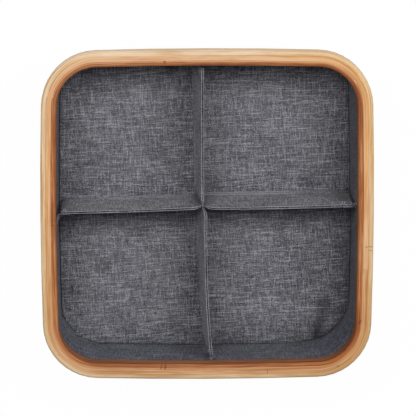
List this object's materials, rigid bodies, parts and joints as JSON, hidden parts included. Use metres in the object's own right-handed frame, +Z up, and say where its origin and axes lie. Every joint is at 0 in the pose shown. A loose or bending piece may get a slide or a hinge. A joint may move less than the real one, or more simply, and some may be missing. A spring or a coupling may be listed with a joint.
{
  "type": "storage tray",
  "caption": "Square cloth storage tray with a rounded bamboo rim, a loose cloth-covered floor panel and a lift-out cloth cross that divides it into compartments.",
  "frame": {"origin": "on the underside, below the middle of the rim, where the tray stands", "axes": "+Z up through the open top; +X and +Y along the two plan directions, to the picture's right and top"},
  "size_m": [0.33, 0.33, 0.1],
  "materials": {
    "bamboo_outer": "satin lacquered pale bamboo, fine straight grain",
    "bamboo_middle": "satin lacquered tan bamboo, fine straight grain",
    "bamboo_inner": "satin lacquered carbonised orange-brown bamboo",
    "cover_cloth": "matt heather grey slub weave",
    "lining_cloth": "matt dark slate grey slub weave",
    "panel_cloth": "matt heather grey slub weave",
    "wing_cloth": "matt heather grey slub weave, folded over the top edge",
    "tab_tape": "matt grey tape",
    "seam_thread": "grey sewing thread",
    "stiffener": "raw grey board"
  },
  "bodies": {
    "tray": {"rim_outer_ply": "bamboo_outer", "rim_middle_ply": "bamboo_middle", "rim_inner_ply": "bamboo_inner", "cover_side_band": "cover_cloth", "cover_bottom_panel": "cover_cloth", "bottom_board": "stiffener", "wall_board_north": "stiffener", "wall_board_east": "stiffener", "wall_board_south": "stiffener", "wall_board_west": "stiffener", "lining_side_band": "lining_cloth", "lining_bottom_panel": "lining_cloth"},
    "base_insert": {"base_insert_cover": "panel_cloth", "base_insert_board": "stiffener"},
    "divider": {"wing_sleeve_north": "wing_cloth", "wing_sleeve_east": "wing_cloth", "wing_sleeve_south": "wing_cloth", "wing_sleeve_west": "wing_cloth", "wing_board_north": "stiffener", "wing_board_east": "stiffener", "wing_board_south": "stiffener", "wing_board_west": "stiffener", "end_tab_north": "tab_tape", "end_tab_east": "tab_tape", "end_tab_south": "tab_tape", "end_tab_west": "tab_tape", "centre_seam": "seam_thread"}
  },
  "joints": [
    {"name": "base_lift", "type": "slide", "parent": "tray", "child": "base_insert", "axis": [0, 0, 1], "range_m": [0, 0.12]},
    {"name": "divider_lift", "type": "slide", "parent": "base_insert", "child": "divider", "axis": [0, 0, 1], "range_m": [0, 0.12]}
  ]
}
